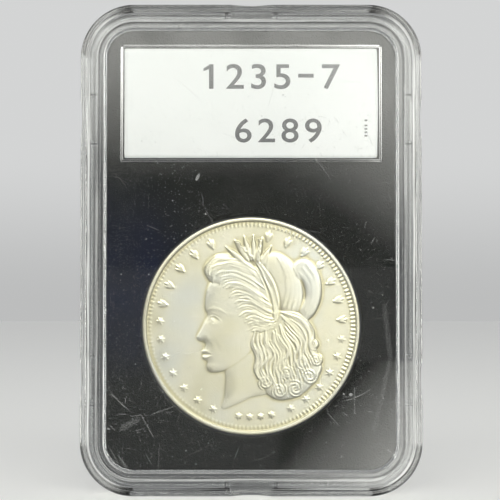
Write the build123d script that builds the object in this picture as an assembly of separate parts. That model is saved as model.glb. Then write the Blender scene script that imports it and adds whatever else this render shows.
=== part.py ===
from build123d import *
import math
import os

# Graded coin slab: two clear shells that snap together round a foam insert,
# a struck coin and a printed label card.
# Millimetres. The slab stands on its bottom edge: X runs across it, Z up it, and the
# face looks towards -Y. The origin is at the middle of the bottom edge, in the plane
# where the shells part.

# ---- driving dimensions ----
WIDTH = 59.5
HEIGHT = 85.7
THICKNESS = 8.0
CORNER_R = 9.3

RIM_WIDTH = 4.3  # from the outer edge to the sunk window
WALL = 1.4  # outer wall of each shell
SHOULDER = 0.9  # step outside the stacking ridge
NEST_GAP = 0.1  # play between one slab's ridge and the next slab's lip
RIDGE_HEIGHT = 0.6
WINDOW_SINK_FRONT = 1.0
WINDOW_SINK_BACK = 1.1
WINDOW_THICK = 1.2
BUSH_WALL = 1.2  # inner wall that surrounds the insert

LATCH_WIDTH = 7.0
LATCH_GAP = 0.2  # between a tongue and its pocket
LATCH_REACH = 2.5  # how far a tongue stands above the parting plane
LATCH_OUTSET = 1.05  # from the outer edge to the tongue
LATCH_THICK = 1.15
LATCH_SPREAD = 22.6  # of the side latches, above and below mid height
LATCH_RIB = 0.6  # rib at each end of a latch, at its root
LATCH_RIB_TIP = 0.15
LATCH_RIB_REACH = 2.3
SCOOP_DEPTH = 0.3  # fingernail scoop outside each latch
SCOOP_WIDTH = 7.4

LABEL_WIDTH = 44.4
LABEL_HEIGHT = 19.2
LABEL_THICK = 0.3
LABEL_Z = 68.5
FRAME_GAP = 0.25  # between the label and the rib round it
FRAME_RIB = 0.4

COIN_DIAMETER = 38.1
COIN_THICK = 2.4
COIN_Z = 29.5
COIN_HOLE_GAP = 0.3
COIN_RIM = 1.1
COIN_FIELD_SINK = 0.25
RELIEF = 0.2
STARS_LEFT = 7
STARS_RIGHT = 6
STAR_R = 0.83
STAR_RING = 0.838  # of the coin's radius
STAR_STEP = 11.3
STAR_LOW = 66.0  # degrees below the horizontal, of the lowest star on each side
MEDAL_R = 10.5  # raised disc in the middle of each face

SOFT_GAP = 0.1  # play round the insert and between layers
EDGE_ROUND = 0.4  # fillets of the moulded edges
TOP_ROUND = 0.35  # of the edges round the window
INNER_ROUND = 0.3
SEAM_BREAK = 0.15
RIB_BREAK = 0.12
TOLERANCE = 0.01  # within which an edge counts as lying at a place

# ---- places worked out from them ----
HALF_W = WIDTH / 2
HALF_H = HEIGHT / 2
FRONT = -THICKNESS / 2
BACK = THICKNESS / 2
PARTING = 0.0
FRONT_SHOULDER = FRONT + RIDGE_HEIGHT
BACK_REBATE = BACK - RIDGE_HEIGHT
FRONT_PLATE_IN = FRONT + WINDOW_SINK_FRONT + WINDOW_THICK
BACK_PLATE_IN = BACK - WINDOW_SINK_BACK - WINDOW_THICK
BUSH_INSET = RIM_WIDTH - BUSH_WALL
CHANNEL_ROOF = FRONT + WALL
CHANNEL_FLOOR = BACK_REBATE - BUSH_WALL
LABEL_FRONT = FRONT_PLATE_IN + SOFT_GAP / 2
LABEL_BACK = LABEL_FRONT + LABEL_THICK
INSERT_FRONT = LABEL_BACK + SOFT_GAP / 2
INSERT_BACK = BACK_PLATE_IN - SOFT_GAP / 2
COIN_MIDDLE = (INSERT_FRONT + INSERT_BACK) / 2
COIN_R = COIN_DIAMETER / 2

# each latch: its place on the rim and the angle that turns +Z to the rim's outward normal
LATCHES = [
    (side * HALF_W, HALF_H + level * LATCH_SPREAD, side * 90)
    for side in (-1, 1)
    for level in (-1, 1)
]
LATCHES += [(0.0, 0.0, 180), (0.0, HEIGHT, 0)]


def facing(y):
    """The plane at depth y that looks out of the slab's face, centred on the slab."""
    return Plane(origin=(0, y, HALF_H), x_dir=(1, 0, 0), z_dir=(0, -1, 0))


def slab_layer(inset, front, back):
    """A solid of the slab's outline, drawn in by inset, between two depths."""
    outline = RectangleRounded(WIDTH - 2 * inset, HEIGHT - 2 * inset, CORNER_R - inset)
    return extrude(facing(back) * outline, amount=back - front)


def slab_ring(outer, inner, front, back):
    return slab_layer(outer, front, back) - slab_layer(inner, front, back)


def inset_at(point):
    """How far inside the slab's outline a point is."""
    across = abs(point.X) - (HALF_W - CORNER_R)
    along = abs(point.Z - HALF_H) - (HALF_H - CORNER_R)
    if across > 0 and along > 0:
        return CORNER_R - math.hypot(across, along)
    return CORNER_R - max(across, along)


def loop_edges(solid, inset, y):
    """The edges of a solid that run round it at one inset and one depth."""

    def on_loop(edge):
        return all(
            abs(edge.position_at(t).Y - y) < TOLERANCE
            and abs(inset_at(edge.position_at(t)) - inset) < TOLERANCE
            for t in (0.1, 0.5, 0.9)
        )

    return solid.edges().filter_by(on_loop)


def at_latch(x, z, turn, inset, width, depth, front, back):
    """A block that spans a latch, from inset inwards by depth."""
    block = Box(width, back - front, depth)
    place = Location((x, (front + back) / 2, z)) * Location((0, 0, 0), (0, turn, 0))
    return place * Location((0, 0, -inset - depth / 2)) * block


def scoop(x, z, turn, front, back):
    """A shallow round cut in the outer edge, for a fingernail."""
    radius = (SCOOP_WIDTH**2 / 4 + SCOOP_DEPTH**2) / (2 * SCOOP_DEPTH)
    cutter = Rot(90, 0, 0) * Cylinder(radius, back - front)
    place = Location((x, (front + back) / 2, z)) * Location((0, 0, 0), (0, turn, 0))
    return place * Location((0, 0, radius - SCOOP_DEPTH)) * cutter


def latch_ribs(x, z, turn, front, back):
    """Two tapered ribs across the channel, one past each end of a latch."""
    root, tip = LATCH_RIB / 2, LATCH_RIB_TIP / 2
    section = make_face(Polyline((-root, front), (root, front), (tip, back), (-tip, back), close=True))
    rib = extrude(section, amount=BUSH_INSET - SOFT_GAP - WALL)
    place = Location((x, 0, z)) * Location((0, 0, 0), (0, turn, 0))
    ribs = Part()
    for side in (-1, 1):
        across = side * (LATCH_WIDTH / 2 + LATCH_GAP + LATCH_RIB)
        ribs += place * Location((across, 0, SOFT_GAP - BUSH_INSET)) * rib
    return ribs


def rounded_loops(shell, *loops):
    """Rounds each loop of edges, given as (inset, depth, radius)."""
    for inset, y, radius in loops:
        shell = fillet(loop_edges(shell, inset, y), radius)
    return shell


def front_shell():
    shell = slab_layer(0, FRONT_SHOULDER, PARTING)
    shell += slab_layer(SHOULDER, FRONT, FRONT_SHOULDER)
    shell -= slab_layer(RIM_WIDTH, FRONT, FRONT + WINDOW_SINK_FRONT)
    shell -= slab_layer(WALL, FRONT_PLATE_IN, PARTING)
    shell -= slab_ring(WALL, BUSH_INSET, CHANNEL_ROOF, FRONT_PLATE_IN)
    shell = rounded_loops(
        shell,
        (0, FRONT_SHOULDER, EDGE_ROUND),
        (SHOULDER, FRONT, TOP_ROUND),
        (RIM_WIDTH, FRONT, TOP_ROUND),
        (RIM_WIDTH, FRONT + WINDOW_SINK_FRONT, INNER_ROUND),
        (WALL, CHANNEL_ROOF, EDGE_ROUND),
        (BUSH_INSET, CHANNEL_ROOF, INNER_ROUND),
        (BUSH_INSET, FRONT_PLATE_IN, INNER_ROUND),
    )
    shell = chamfer(loop_edges(shell, 0, PARTING), SEAM_BREAK)
    pocket = LATCH_WIDTH + 2 * LATCH_GAP
    for latch in LATCHES:
        shell += latch_ribs(*latch, front=CHANNEL_ROOF, back=CHANNEL_ROOF + LATCH_RIB_REACH)
        shell -= at_latch(
            *latch,
            inset=LATCH_OUTSET - LATCH_GAP,
            width=pocket,
            depth=WALL,
            front=PARTING - LATCH_REACH - LATCH_GAP,
            back=PARTING,
        )
        shell -= scoop(*latch, front=FRONT, back=PARTING)
    return shell + label_frame()


def label_frame():
    """The low rib inside the front window that the label sits in."""
    free_edge = INSERT_FRONT - SOFT_GAP
    plane = facing(free_edge)
    middle = Pos(0, LABEL_Z - HALF_H)
    inner_w = LABEL_WIDTH + 2 * FRAME_GAP
    inner_h = LABEL_HEIGHT + 2 * FRAME_GAP
    ring = Rectangle(inner_w + 2 * FRAME_RIB, inner_h + 2 * FRAME_RIB)
    ring -= Rectangle(inner_w, inner_h)
    rib = extrude(plane * middle * ring, amount=free_edge - FRONT_PLATE_IN)
    return chamfer(rib.faces().sort_by(Axis.Y)[-1].edges(), RIB_BREAK)


def back_shell():
    shell = slab_layer(0, PARTING, BACK)
    shell -= slab_layer(SHOULDER - NEST_GAP, BACK_REBATE, BACK)
    shell -= slab_layer(RIM_WIDTH, BACK - WINDOW_SINK_BACK, BACK_REBATE)
    shell -= slab_layer(WALL, PARTING, BACK_PLATE_IN)
    shell -= slab_ring(WALL, BUSH_INSET, BACK_PLATE_IN, CHANNEL_FLOOR)
    shell += slab_ring(BUSH_INSET, RIM_WIDTH, FRONT_PLATE_IN + SOFT_GAP, BACK_PLATE_IN)
    shell = rounded_loops(
        shell,
        (0, BACK, EDGE_ROUND),
        (RIM_WIDTH, BACK_REBATE, SEAM_BREAK),
        (BUSH_INSET, FRONT_PLATE_IN + SOFT_GAP, TOP_ROUND),
        (RIM_WIDTH, FRONT_PLATE_IN + SOFT_GAP, INNER_ROUND),
        (WALL, CHANNEL_FLOOR, EDGE_ROUND),
        (BUSH_INSET, CHANNEL_FLOOR, INNER_ROUND),
    )
    shell = chamfer(loop_edges(shell, 0, PARTING), SEAM_BREAK)
    for latch in LATCHES:
        shell += at_latch(
            *latch,
            inset=LATCH_OUTSET,
            width=LATCH_WIDTH,
            depth=LATCH_THICK,
            front=PARTING - LATCH_REACH,
            back=CHANNEL_FLOOR,
        )
    return shell


def foam_insert():
    """The soft black insert, with a through hole that grips the coin."""
    foam = slab_layer(RIM_WIDTH + SOFT_GAP, INSERT_FRONT, INSERT_BACK)
    hole = Circle(COIN_R + COIN_HOLE_GAP)
    cutter = facing(INSERT_BACK) * Pos(0, COIN_Z - HALF_H) * hole
    return foam - extrude(cutter, amount=INSERT_BACK - INSERT_FRONT)


def label_card():
    card = facing(LABEL_BACK) * Pos(0, LABEL_Z - HALF_H) * Rectangle(LABEL_WIDTH, LABEL_HEIGHT)
    return extrude(card, amount=LABEL_THICK)


def coin_plane(side):
    """The sunk field of one face, looking out of it: side is -1 for the front, 1 for the back."""
    y = COIN_MIDDLE + side * (COIN_THICK / 2 - COIN_FIELD_SINK)
    return Plane(origin=(0, y, COIN_Z), x_dir=(-side, 0, 0), z_dir=(0, side, 0))


def star(angle, radius):
    """A raised six-pointed star at an angle on the coin's face."""
    outline = RegularPolygon(radius, 3) + RegularPolygon(radius, 3, rotation=180)
    ring = COIN_R * STAR_RING
    spot = Pos(ring * math.cos(math.radians(angle)), ring * math.sin(math.radians(angle)))
    return spot * Rot(0, 0, angle - 90) * outline


def coin():
    body = Cylinder(COIN_R, COIN_THICK, rotation=(90, 0, 0))
    body = Pos(0, COIN_MIDDLE, COIN_Z) * body
    right = [-STAR_LOW + i * STAR_STEP for i in range(STARS_RIGHT)]
    left = [180 + STAR_LOW - i * STAR_STEP for i in range(STARS_LEFT)]
    for side in (-1, 1):
        face = coin_plane(side)
        body -= extrude(face * Circle(COIN_R - COIN_RIM), amount=COIN_FIELD_SINK)
        body += extrude(face * Circle(MEDAL_R), amount=RELIEF)
        for angle in left + right:
            body += extrude(face * star(angle, STAR_R), amount=RELIEF)
    return body


PARTS = {
    "front_shell": front_shell(),
    "back_shell": back_shell(),
    "foam_insert": foam_insert(),
    "label_card": label_card(),
    "coin": coin(),
}

os.makedirs("parts", exist_ok=True)
for name, part in PARTS.items():
    export_step(part, f"parts/{name}.step")
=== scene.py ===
import math

import bmesh
import bpy
import numpy as np
from mathutils import Matrix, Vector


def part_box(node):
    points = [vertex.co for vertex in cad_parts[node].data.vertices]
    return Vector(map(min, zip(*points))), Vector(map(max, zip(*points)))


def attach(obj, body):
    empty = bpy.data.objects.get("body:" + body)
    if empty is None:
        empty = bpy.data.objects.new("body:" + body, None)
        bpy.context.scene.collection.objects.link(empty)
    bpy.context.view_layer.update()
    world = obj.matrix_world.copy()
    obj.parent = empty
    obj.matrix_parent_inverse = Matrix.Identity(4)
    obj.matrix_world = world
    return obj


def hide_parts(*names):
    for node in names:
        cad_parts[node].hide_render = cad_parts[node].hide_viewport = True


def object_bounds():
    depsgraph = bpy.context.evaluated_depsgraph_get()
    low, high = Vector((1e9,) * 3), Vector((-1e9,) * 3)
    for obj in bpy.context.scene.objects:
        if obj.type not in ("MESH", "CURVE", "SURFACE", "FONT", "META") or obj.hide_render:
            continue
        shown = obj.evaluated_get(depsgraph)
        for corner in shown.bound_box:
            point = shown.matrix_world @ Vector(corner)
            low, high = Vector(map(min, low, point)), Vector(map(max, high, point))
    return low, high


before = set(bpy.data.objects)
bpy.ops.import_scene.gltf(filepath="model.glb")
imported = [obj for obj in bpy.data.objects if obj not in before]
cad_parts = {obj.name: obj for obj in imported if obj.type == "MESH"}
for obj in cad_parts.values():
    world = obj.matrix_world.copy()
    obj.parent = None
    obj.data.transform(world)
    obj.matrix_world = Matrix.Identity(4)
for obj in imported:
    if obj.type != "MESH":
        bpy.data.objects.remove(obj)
CAD_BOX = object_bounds()

MM = 0.001
SLAB_LOW, SLAB_HIGH = CAD_BOX
SLAB_MIDDLE = (SLAB_LOW + SLAB_HIGH) / 2
SLAB_CORNER = 9.3  # radius of the outline's corners, in mm


# -------------------- helpers


def add_mesh(name, verts, faces, smooth=True):
    """A mesh object from arrays of points and faces."""
    mesh = bpy.data.meshes.new(name)
    mesh.from_pydata([tuple(v) for v in verts], [], [tuple(f) for f in faces])
    mesh.validate()
    mesh.update()
    mesh.polygons.foreach_set("use_smooth", [smooth] * len(mesh.polygons))
    piece = bpy.data.objects.new(name, mesh)
    bpy.context.scene.collection.objects.link(piece)
    return piece


def grid_faces(rows, columns):
    """The quads between points that lie row by row."""
    corner = (np.arange(rows - 1)[:, None] * columns + np.arange(columns - 1)).ravel()
    return np.stack([corner, corner + 1, corner + columns + 1, corner + columns], 1)


def side_faces(ring, onward):
    """The quads between a closed ring of points and the ring that lies onward points after it."""
    return [(a, a + onward, b + onward, b) for a, b in zip(ring, ring[1:] + ring[:1])]


def box_in_mm(node_name):
    """A CAD node's lowest and highest corners."""
    return [np.array(p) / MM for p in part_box(node_name)]


def new_material(name):
    """A material and its empty node tree."""
    material = bpy.data.materials.new(name)
    material.use_nodes = True
    material.node_tree.nodes.clear()
    return material, material.node_tree


def node(tree, kind, **values):
    """Adds a node. A value goes to the input of that name, or else to the property of that name."""
    made = tree.nodes.new("ShaderNode" + kind)
    for key, value in values.items():
        label = key.replace("_", " ")
        if label in made.inputs:
            feed([made.inputs[label]], [value])
        else:
            setattr(made, key, value)
    return made


def show(tree, shader, output="OutputMaterial"):
    """Makes a shader what is seen."""
    feed(node(tree, output).inputs, [result(shader)])


def feed(inputs, values):
    """Gives inputs their values in turn; each is a number, a tuple of numbers or a Value."""
    for socket, value in zip(inputs, values):
        if isinstance(value, Value):
            value.tree.links.new(value.socket, socket)
        else:
            socket.default_value = value


def result(made, output=0):
    return Value(made.outputs[output])


def reckon(operation, *values):
    """A Math node's output."""
    tree = next(value.tree for value in values if isinstance(value, Value))
    made = node(tree, "Math", operation=operation)
    feed(made.inputs, values)
    return result(made)


class Value:
    """A node's output, which can be reckoned with like a number."""

    def __init__(self, socket):
        self.socket = socket
        self.tree = socket.id_data

    def __add__(self, other):
        return reckon("ADD", self, other)

    def __sub__(self, other):
        return reckon("SUBTRACT", self, other)

    def __rsub__(self, other):
        return reckon("SUBTRACT", other, self)

    def __mul__(self, other):
        return reckon("MULTIPLY", self, other)

    def __truediv__(self, other):
        return reckon("DIVIDE", self, other)

    def __lt__(self, other):
        return reckon("LESS_THAN", self, other)

    def __gt__(self, other):
        return reckon("GREATER_THAN", self, other)

    def __abs__(self):
        return reckon("ABSOLUTE", self)

    def vector(self, operation, *others):
        """A VectorMath node's output: a vector, or the number that a distance or a dot product is."""
        made = node(self.tree, "VectorMath", operation=operation)
        feed(made.inputs, (self, *others))
        return result(made, "Value" if operation in ("DISTANCE", "DOT_PRODUCT") else "Vector")

    def parts(self):
        return [Value(part) for part in node(self.tree, "SeparateXYZ", Vector=self).outputs]

    def ramp(self, start, end, low=0.0, high=1.0, smooth=True):
        """Goes from low to high while this goes from start to end, and is held beyond them."""
        kind = "SMOOTHSTEP" if smooth else "LINEAR"
        made = node(self.tree, "MapRange", interpolation_type=kind, Value=self, From_Min=start, From_Max=end)
        feed([made.inputs["To Min"], made.inputs["To Max"]], [low, high])
        return result(made)


def highest(first, *others):
    for other in others:
        first = reckon("MAXIMUM", first, other)
    return first


def spot_in(tree):
    """Where on the object a point lies."""
    return result(node(tree, "TexCoord"), "Object")


def place_in(tree, scale=(1, 1, 1), turn=(0, 0, 0), shift=(0, 0, 0)):
    """Object coordinates, scaled, turned by angles in degrees and then moved."""
    angles = [math.radians(a) for a in turn]
    return result(node(tree, "Mapping", Vector=spot_in(tree), Location=shift, Rotation=angles, Scale=scale))


def noise(place, scale, detail):
    return result(node(place.tree, "TexNoise", Vector=place, Scale=scale, Detail=detail, Roughness=0.5))


def blend_colors(share, first, second):
    """A colour that goes from first to second as share goes from 0 to 1."""
    made = node(share.tree, "Mix", data_type="RGBA", Factor=share)
    feed(made.inputs[6:8], [c if isinstance(c, Value) else (*c, 1) for c in (first, second)])
    return result(made, 2)


def bump(height, distance, strength):
    return result(node(height.tree, "Bump", Height=height, Distance=distance, Strength=strength))


def painted(name, paint):
    """A material of one Principled shader; paint(tree) gives its values by their names."""
    material, tree = new_material(name)
    show(tree, node(tree, "BsdfPrincipled", **paint(tree)))
    return material


def give(piece, material, body, slot, *replaced):
    """Finishes a piece: its material and body, and hides the CAD nodes it stands for; slot is not used."""
    piece.data.materials.clear()
    piece.data.materials.append(material)
    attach(piece, body)
    if replaced:
        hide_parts(*replaced)


# -------------------- stage

FLOOR_RADIUS = 3.0
CAMERA_DISTANCE = 0.30
CAMERA_TILT = math.radians(-1.8)
VIEW_HEIGHT = 88.0 * MM  # what the frame takes in at the slab's middle
CAMERA_ASIDE = -0.2 * MM  # how far it stands to the right of the slab's middle


def add_floor():
    steps = 96
    ring = [
        (FLOOR_RADIUS * math.cos(a), FLOOR_RADIUS * math.sin(a), 0.0)
        for a in np.linspace(0, 2 * math.pi, steps, endpoint=False)
    ]
    floor = add_mesh("stage_floor", ring, [range(steps)], smooth=False)
    pale = painted("pale_floor", lambda tree: {"Base_Color": (0.90, 0.90, 0.89, 1), "Roughness": 0.9})
    floor.data.materials.append(pale)
    floor.visible_glossy = False
    floor.visible_transmission = False


def add_camera():
    camera = bpy.data.cameras.new("camera")
    camera.sensor_width = 36.0
    camera.lens = camera.sensor_width * CAMERA_DISTANCE / VIEW_HEIGHT
    camera.clip_start = 0.01
    camera.clip_end = 10.0
    eye = bpy.data.objects.new("camera", camera)
    back = (0.0, -math.cos(CAMERA_TILT), math.sin(CAMERA_TILT))
    eye.location = [m + CAMERA_DISTANCE * b for m, b in zip(SLAB_MIDDLE, back)]
    eye.location.x += CAMERA_ASIDE
    eye.rotation_euler = (math.pi / 2 - CAMERA_TILT, 0, 0)
    bpy.context.scene.collection.objects.link(eye)
    bpy.context.scene.camera = eye


def add_card(name, place, size, glow, turn=0.0, tilt=0.0, steps=120, in_plastic=True):
    """A glowing upright panel, tilted back about its own middle and then turned about the world's Z,
    both in degrees; glow gives its strength at (x, z), in metres, before that. With in_plastic=False
    it lights neither matt surfaces nor the insides of the plastic, only what mirrors it from outside."""
    wide, high = size
    x, z = np.meshgrid(np.linspace(-0.5, 0.5, steps) * wide, np.linspace(-0.5, 0.5, steps) * high)
    x, z = x.ravel(), z.ravel()
    card = add_mesh(name, np.stack([x, 0 * x, z], 1), grid_faces(steps, steps))
    leant = Matrix.Translation(place) @ Matrix.Rotation(math.radians(tilt), 4, "X")
    card.matrix_world = Matrix.Rotation(math.radians(turn), 4, "Z") @ leant
    card.visible_camera = False
    stored = card.data.attributes.new("glow", "FLOAT", "POINT")
    stored.data.foreach_set("value", [glow(place[0] + u, place[2] + v) for u, v in zip(x, z)])
    material, tree = new_material(name)
    strength = result(node(tree, "Attribute", attribute_name="glow"), "Fac")
    if not in_plastic:
        card.visible_diffuse = False
        card.visible_transmission = False
        path = node(tree, "LightPath")
        outside = result(path, "Transmission Depth") < 0.5
        spread = result(path, "Diffuse Depth") > 0.5
        strength = strength * highest(outside, spread)
    show(tree, node(tree, "Emission", Color=(1.0, 1.0, 0.94, 1), Strength=strength))
    card.data.materials.append(material)


# each card's middle, before it is turned, and its width and height
KEY_CARD_AT, KEY_CARD = (0.0, -1.0, 0.46), (1.3, 0.8)
LOW_CARD_AT, LOW_CARD = (0.17, -1.0, -0.11), (0.3, 0.2)
SIDE_CARD_AT, SIDE_CARD = (0.0, -0.7, 0.16), (0.40, 0.5)
TOP_CARD_AT, TOP_CARD = (0.0, -0.15, 0.8), (0.7, 0.5)
KEY_EDGE = 0.128  # height where the key card's glow starts
KEY_FULL = 0.245  # and where it is full
KEY_SLANT = 0.70  # how fast both come down to the right
KEY_SLANT_FROM = 0.03  # of this x
KEY_GAP = (0.247, 0.278)  # heights between which a gap dims it, which the rim's top mirrors
KEY_GAP_SHARE = 0.22
KEY_HIGH_SHARE = 1.35  # above the gap
KEY_GLOW = 2.8
LOW_GLOW = 3.2
LOW_EDGE = (0.075, -0.03)  # a spot (x, z) where the low card's glow starts
LOW_WAY = (0.75, -0.66)  # the way in which it grows
LOW_FADE = 0.07  # and how far it takes
SIDE_GLOW = 11.0
TOP_GLOW = 1.2


def key_glow(x, z):
    """Fades in upwards, and starts lower on the right; a gap crosses it."""
    level = z + KEY_SLANT * max(0.0, x - KEY_SLANT_FROM)
    share = 1.0
    if KEY_GAP[0] < z < KEY_GAP[1]:
        share = KEY_GAP_SHARE
    elif z > KEY_GAP[1]:
        share = KEY_HIGH_SHARE
    return share * KEY_GLOW * min(max((level - KEY_EDGE) / (KEY_FULL - KEY_EDGE), 0.0), 1.0)


def evenly(strength):
    """The same all over, for the cards that light the rounded edges alone."""
    return lambda x, z: strength


def low_glow(x, z):
    """Fades in towards the lower right."""
    level = LOW_WAY[0] * (x - LOW_EDGE[0]) + LOW_WAY[1] * (z - LOW_EDGE[1])
    return LOW_GLOW * min(max(level / LOW_FADE, 0.0), 1.0)


AIR = 0.60  # what lights the scene from all round
BACKDROP = 0.66  # what the camera itself sees
HORIZON = 0.51  # and the same low down, where it meets the floor
THROUGH_BACK = 0.12  # what is seen through the plastic straight behind the slab
THROUGH_FRONT = 0.235  # straight in front of it
THROUGH_ASIDE = 0.34  # and anywhere else
DUSK = 0.064  # what polished surfaces mirror from straight in front
DUSK_ASIDE = 0.42  # and from anywhere else
FRONT_ENDS = (-0.82, -0.58)  # a direction's y over which the front gives way to the sides
BACK_BEGINS = (0.80, 0.93)  # and over which they give way to the back
HORIZON_ENDS = 0.09  # a direction's z where the horizon has turned into the backdrop


def add_world():
    """Pale air all round; through the plastic, and mirrored by gloss, it is darker, as in a dim room."""
    world = bpy.data.worlds.new("studio")
    bpy.context.scene.world = world
    world.use_nodes = True
    tree = world.node_tree
    tree.nodes.clear()
    _, onward, up = result(node(tree, "TexCoord"), "Generated").parts()
    through = onward.ramp(*FRONT_ENDS, THROUGH_FRONT, THROUGH_ASIDE)
    through = onward.ramp(*BACK_BEGINS, through, THROUGH_BACK)
    mirrored = onward.ramp(*FRONT_ENDS, DUSK, DUSK_ASIDE)
    backdrop = up.ramp(0.0, HORIZON_ENDS, HORIZON, BACKDROP)
    path = node(tree, "LightPath")
    strength = AIR
    for ray, seen in (("Glossy", mirrored), ("Transmission", through), ("Camera", backdrop)):
        strength = result(path, f"Is {ray} Ray").ramp(0.0, 1.0, strength, seen, smooth=False)
    show(tree, node(tree, "Background", Color=(0.99, 1.0, 1.0, 1), Strength=strength), "OutputWorld")


add_floor()
add_camera()
add_world()
add_card("stage_key_card", KEY_CARD_AT, KEY_CARD, key_glow)
add_card("stage_low_card", LOW_CARD_AT, LOW_CARD, low_glow)
for side, turn in (("left", -78), ("right", 78)):
    edge_glow = evenly(SIDE_GLOW)
    add_card(f"stage_{side}_card", SIDE_CARD_AT, SIDE_CARD, edge_glow, turn=turn, steps=8, in_plastic=False)
add_card("stage_top_card", TOP_CARD_AT, TOP_CARD, evenly(TOP_GLOW), tilt=80, steps=8, in_plastic=False)
bpy.context.scene.view_settings.view_transform = "Standard"


# -------------------- shells


def hairlines(tree, turn, across, along, width):
    """Thin straight scratches in one direction: 1 on a scratch and 0 beside it."""
    place = place_in(tree, scale=(across, 1, along), turn=(0, turn, 0))
    cells = node(tree, "TexVoronoi", feature="DISTANCE_TO_EDGE", Vector=place, Scale=1.0)
    return result(cells, "Distance").ramp(0.0, width, 1.0, 0.0)


def scattered(tree, cell, seed):
    """Random spots about a cell (in mm) apart, seen face-on: the way from the nearest to here, and
    the nearest's three random numbers."""
    flat = place_in(tree, turn=(-90, 0, 0), shift=(seed, seed, 0))
    cells = node(tree, "TexVoronoi", voronoi_dimensions="2D", Vector=flat, Scale=1.0 / (cell * MM))
    x, z, _ = flat.vector("SUBTRACT", result(cells, "Position")).parts()
    return x, z, result(cells, "Color").parts()


def scratches(tree, cell, length, width, share, seed):
    """Short scratches, each at its own angle: 1 on a scratch and 0 beside it. Sizes are in mm."""
    x, z, (turn, pick, curve) = scattered(tree, cell, seed)
    length, width = length * MM, width * MM
    angle = turn * (2 * math.pi)
    c, s = reckon("COSINE", angle), reckon("SINE", angle)
    along = x * c + z * s
    bend = along * along * (curve - 0.5) * (0.6 / length)
    line = abs(z * c - x * s + bend).ramp(0.3 * width, width, 1.0, 0.0)
    ends = abs(along).ramp(0.1 * length, 0.5 * length, 1.0, 0.0)
    return line * ends * (pick < share)


def specks(tree, cell, size, share, seed):
    """Dust: round specks up to a size, in mm, in a share of the cells."""
    x, z, (pick, scale, weight) = scattered(tree, cell, seed)
    reach = reckon("SQRT", x * x + z * z) / scale.ramp(0.0, 1.0, 0.35 * size * MM, size * MM)
    return reach.ramp(0.35, 1.0, 1.0, 0.0) * (pick < share) * weight.ramp(0.0, 1.0, 0.35, 1.0)


def close_to(tree, spot, inner, outer):
    """1 within inner of a spot, fading to 0 at outer; all in metres."""
    return spot_in(tree).vector("DISTANCE", spot).ramp(inner, outer, 1.0, 0.0)


def stroke(tree, start, end, half):
    """1 along a straight line between two points (x, z), fading to 0 at its half width, in mm."""
    first = np.array((start[0], 0.0, start[1])) * MM
    run = np.array((end[0], 0.0, end[1])) * MM - first
    way = spot_in(tree).vector("MULTIPLY", (1, 0, 1)).vector("SUBTRACT", first)
    share = result(node(tree, "Clamp", Value=way.vector("DOT_PRODUCT", run / (run @ run))))
    apart = way.vector("DISTANCE", share.vector("MULTIPLY", run))
    return apart.ramp(0.25 * half * MM, half * MM, 1.0, 0.0)


def inset_in(tree):
    """How far a point lies inside the slab's outline, seen face-on."""
    half = (SLAB_HIGH - SLAB_LOW) / 2
    straight = (half[0] - SLAB_CORNER * MM, 0.0, half[2] - SLAB_CORNER * MM)
    beside = spot_in(tree).vector("SUBTRACT", SLAB_MIDDLE).vector("ABSOLUTE")
    x, _, z = beside.vector("SUBTRACT", straight).parts()
    round_x, round_z = highest(x, 0.0), highest(z, 0.0)
    corner = reckon("SQRT", round_x * round_x + round_z * round_z)
    return SLAB_CORNER * MM - (corner + reckon("MINIMUM", highest(x, z), 0.0))


# where the window is rubbed: the place, how far its full strength reaches and where it ends, in metres
RUBBED = [
    ((0.023, -0.003, 0.012), 0.006, 0.017),
    ((-0.021, -0.003, 0.013), 0.003, 0.012),
    ((0.024, -0.003, 0.045), 0.003, 0.012),
    ((0.016, -0.003, 0.062), 0.002, 0.012),
]
# single marks on the window, in mm: from (x, z) to (x, z), half width and strength
MARKS = [
    ((-19.1, 14.0), (-17.0, 10.2), 0.13, 0.07),
    ((-17.2, 14.2), (-13.2, 15.6), 0.13, 0.06),
    ((-20.8, 13.8), (-19.2, 14.1), 0.12, 0.07),
    ((-22.4, 11.8), (-19.8, 13.2), 0.75, 0.035),
    ((18.0, 18.8), (18.0, 14.3), 0.10, 0.09),
    ((13.4, 14.3), (15.2, 12.3), 0.10, 0.07),
    ((23.2, 33.0), (24.3, 24.0), 0.65, 0.022),
    ((24.3, 24.0), (21.4, 11.5), 0.50, 0.020),
    ((-22.6, 6.4), (-21.2, 3.9), 0.40, 0.05),
    ((16.1, 17.65), (16.15, 17.65), 0.28, 0.14),
    ((17.3, 17.6), (17.4, 17.6), 0.36, 0.20),
    ((-9.5, 55.1), (-9.2, 55.8), 0.34, 0.16),
    ((15.7, 6.8), (15.75, 6.85), 0.26, 0.14),
]
# short scratches: cell, length and width in mm, share of the cells that have one, seed and strength
SHORT_SCRATCHES = [
    (2.7, 1.9, 0.07, 0.35, 0.31, 0.14),
    (1.5, 0.9, 0.06, 0.30, 0.13, 0.12),
]
LONG_SCRATCHES = (8.0, 7.5, 0.10, 0.45, 0.77)  # the same, without the strength
# dust: cell and size in mm, share of the cells that have some, seed and strength
DUST = [
    (2.1, 0.13, 0.30, 0.53, 0.20),
    (7.5, 0.22, 0.35, 0.91, 0.30),
]
# where the raised edges carry painted highlights, drawn as white scuffing with some wear: inset and half
# width in mm, and strength along the slab's sides and along its ends
EDGE_GLINTS = [
    (0.15, 0.22, 0.30, 0.03),
    (0.80, 0.75, 0.38, 0.02),
    (1.45, 0.35, 0.75, 0.03),
    (2.20, 1.00, 0.08, 0.02),
    (2.92, 0.42, 0.33, 0.40),
    (4.15, 0.17, 0.60, 0.20),
]
SIDES_BEGIN = (21.0 * MM, 25.5 * MM)  # |x| over which the strength at the ends turns into that at the sides
FACE_BEGINS = (3.15 * MM, 3.35 * MM)  # |y| over which the outer face begins


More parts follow.
